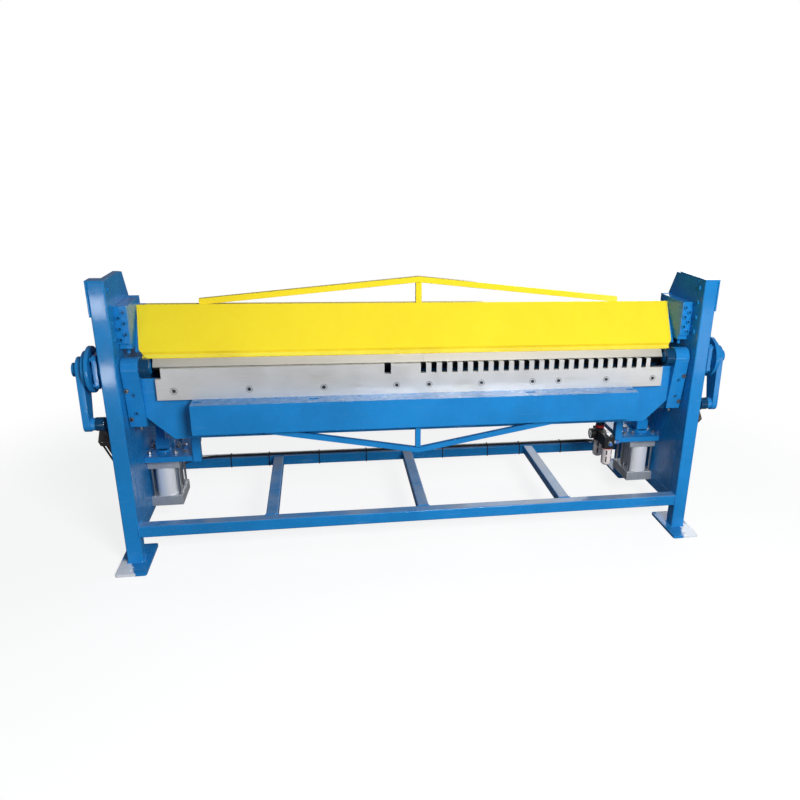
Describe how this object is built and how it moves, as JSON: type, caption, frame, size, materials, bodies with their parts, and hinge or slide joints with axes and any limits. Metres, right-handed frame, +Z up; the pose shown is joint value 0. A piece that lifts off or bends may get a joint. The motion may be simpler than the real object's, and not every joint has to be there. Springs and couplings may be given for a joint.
{
  "type": "sheet metal folding machine",
  "caption": "Air driven sheet metal folder: square tube frame, lifting clamp beam with upper jaws, swinging apron with notched blades, leaning cylinders on outside cranks.",
  "frame": {"origin": "on the floor, at the middle of the length and of the footprint of the four foot plates", "axes": "+X along the machine to the operator's right, +Y away from the operator to the back, +Z up"},
  "size_m": [2.698, 0.934, 1.168],
  "materials": {
    "blue_paint": "gloss enamel",
    "yellow_paint": "gloss enamel",
    "jaw_steel": "ground",
    "bright_steel": "zinc plated",
    "pivot_steel": "painted over turned steel",
    "cylinder_alloy": "satin",
    "chromed_rod": "hard chromed",
    "unit_plastic": "moulded",
    "bowl_guard": "cast guard",
    "needle_paint": "enamel",
    "hose_rubber": "smooth",
    "hose_nylon": "translucent",
    "tie_plastic": "moulded"
  },
  "bodies": {
    "frame": {"left_post": "blue_paint", "right_post": "blue_paint", "top_covers": "blue_paint", "left_side_plate": "blue_paint", "right_side_plate": "blue_paint", "left_side_rail": "blue_paint", "right_side_rail": "blue_paint", "left_rear_leg": "blue_paint", "right_rear_leg": "blue_paint", "front_feet": "blue_paint", "rear_feet": "blue_paint", "front_rail": "blue_paint", "rear_rail": "blue_paint", "crossbars": "blue_paint", "lower_beam": "blue_paint", "lower_jaw": "jaw_steel", "clamp_guides": "blue_paint", "guide_screws": "bright_steel", "cylinder_plates": "blue_paint", "clamp_cylinder_caps": "cylinder_alloy", "clamp_barrels": "cylinder_alloy", "clamp_tie_rods": "chromed_rod", "hanger_tubes": "blue_paint", "left_pivot_bearing": "blue_paint", "right_pivot_bearing": "blue_paint", "bearing_bolts": "bright_steel", "cylinder_brackets": "blue_paint", "cylinder_pins": "bright_steel", "air_unit_body": "unit_plastic", "air_unit_bowls": "bowl_guard", "gauge_case": "unit_plastic", "air_hose": "hose_rubber", "return_hose": "hose_nylon", "hose_ties": "tie_plastic"},
    "clamp": {"clamp_beam": "yellow_paint", "clamp_panel": "yellow_paint", "clamp_truss": "yellow_paint", "left_upper_jaw": "jaw_steel", "right_upper_jaw": "jaw_steel", "slide_blocks": "blue_paint", "pull_bars": "blue_paint", "clamp_pistons": "chromed_rod"},
    "apron": {"apron_plate": "blue_paint", "apron_box": "blue_paint", "left_blade": "jaw_steel", "middle_blade": "jaw_steel", "right_blade": "jaw_steel", "blade_screws": "bright_steel", "apron_truss": "blue_paint", "left_fold_arm": "blue_paint", "right_fold_arm": "blue_paint", "arm_bolts": "bright_steel", "pivot_shafts": "pivot_steel", "crank_arms": "blue_paint"},
    "left_cylinder": {"left_fold_cylinder": "cylinder_alloy"},
    "right_cylinder": {"right_fold_cylinder": "cylinder_alloy"},
    "left_rod": {"left_fold_rod": "chromed_rod"},
    "right_rod": {"right_fold_rod": "chromed_rod"},
    "knob": {"regulator_knob": "unit_plastic"},
    "needle": {"gauge_needle": "needle_paint"}
  },
  "joints": [
    {"name": "clamp_lift", "type": "slide", "parent": "frame", "child": "clamp", "axis": [0, 0, 1], "range_m": [0, 0.07]},
    {"name": "apron_fold", "type": "hinge", "parent": "frame", "child": "apron", "pos_m": [0, -0.29, 0.818], "axis": [-1, 0, 0], "range_deg": [0, 105]},
    {"name": "left_cylinder_swing", "type": "hinge", "parent": "frame", "child": "left_cylinder", "pos_m": [-1.27, 0.075, 0.188], "axis": [-1, 0, 0], "range_deg": [0, 5.21]},
    {"name": "left_rod_travel", "type": "slide", "parent": "left_cylinder", "child": "left_rod", "axis": [0, -0.6877, 0.726], "range_m": [0, 0.33545]},
    {"name": "right_cylinder_swing", "type": "hinge", "parent": "frame", "child": "right_cylinder", "pos_m": [1.27, 0.075, 0.188], "axis": [-1, 0, 0], "range_deg": [0, 5.21]},
    {"name": "right_rod_travel", "type": "slide", "parent": "right_cylinder", "child": "right_rod", "axis": [0, -0.6877, 0.726], "range_m": [0, 0.33545]},
    {"name": "regulator_turn", "type": "hinge", "parent": "frame", "child": "knob", "pos_m": [0.908, -0.03, 0.402], "axis": [0, 0, 1], "range_deg": [-160, 160]},
    {"name": "gauge_sweep", "type": "hinge", "parent": "frame", "child": "needle", "pos_m": [0.8645, -0.03, 0.3675], "axis": [-1, 0, 0], "range_deg": [0, 270]}
  ],
  "couplings": [
    {"joint": "left_cylinder_swing", "follows": "apron_fold", "ratio": 0.049495},
    {"joint": "left_rod_travel", "follows": "apron_fold", "m_per_rad": 0.18278},
    {"joint": "right_cylinder_swing", "follows": "apron_fold", "ratio": 0.049495},
    {"joint": "right_rod_travel", "follows": "apron_fold", "m_per_rad": 0.18278}
  ]
}
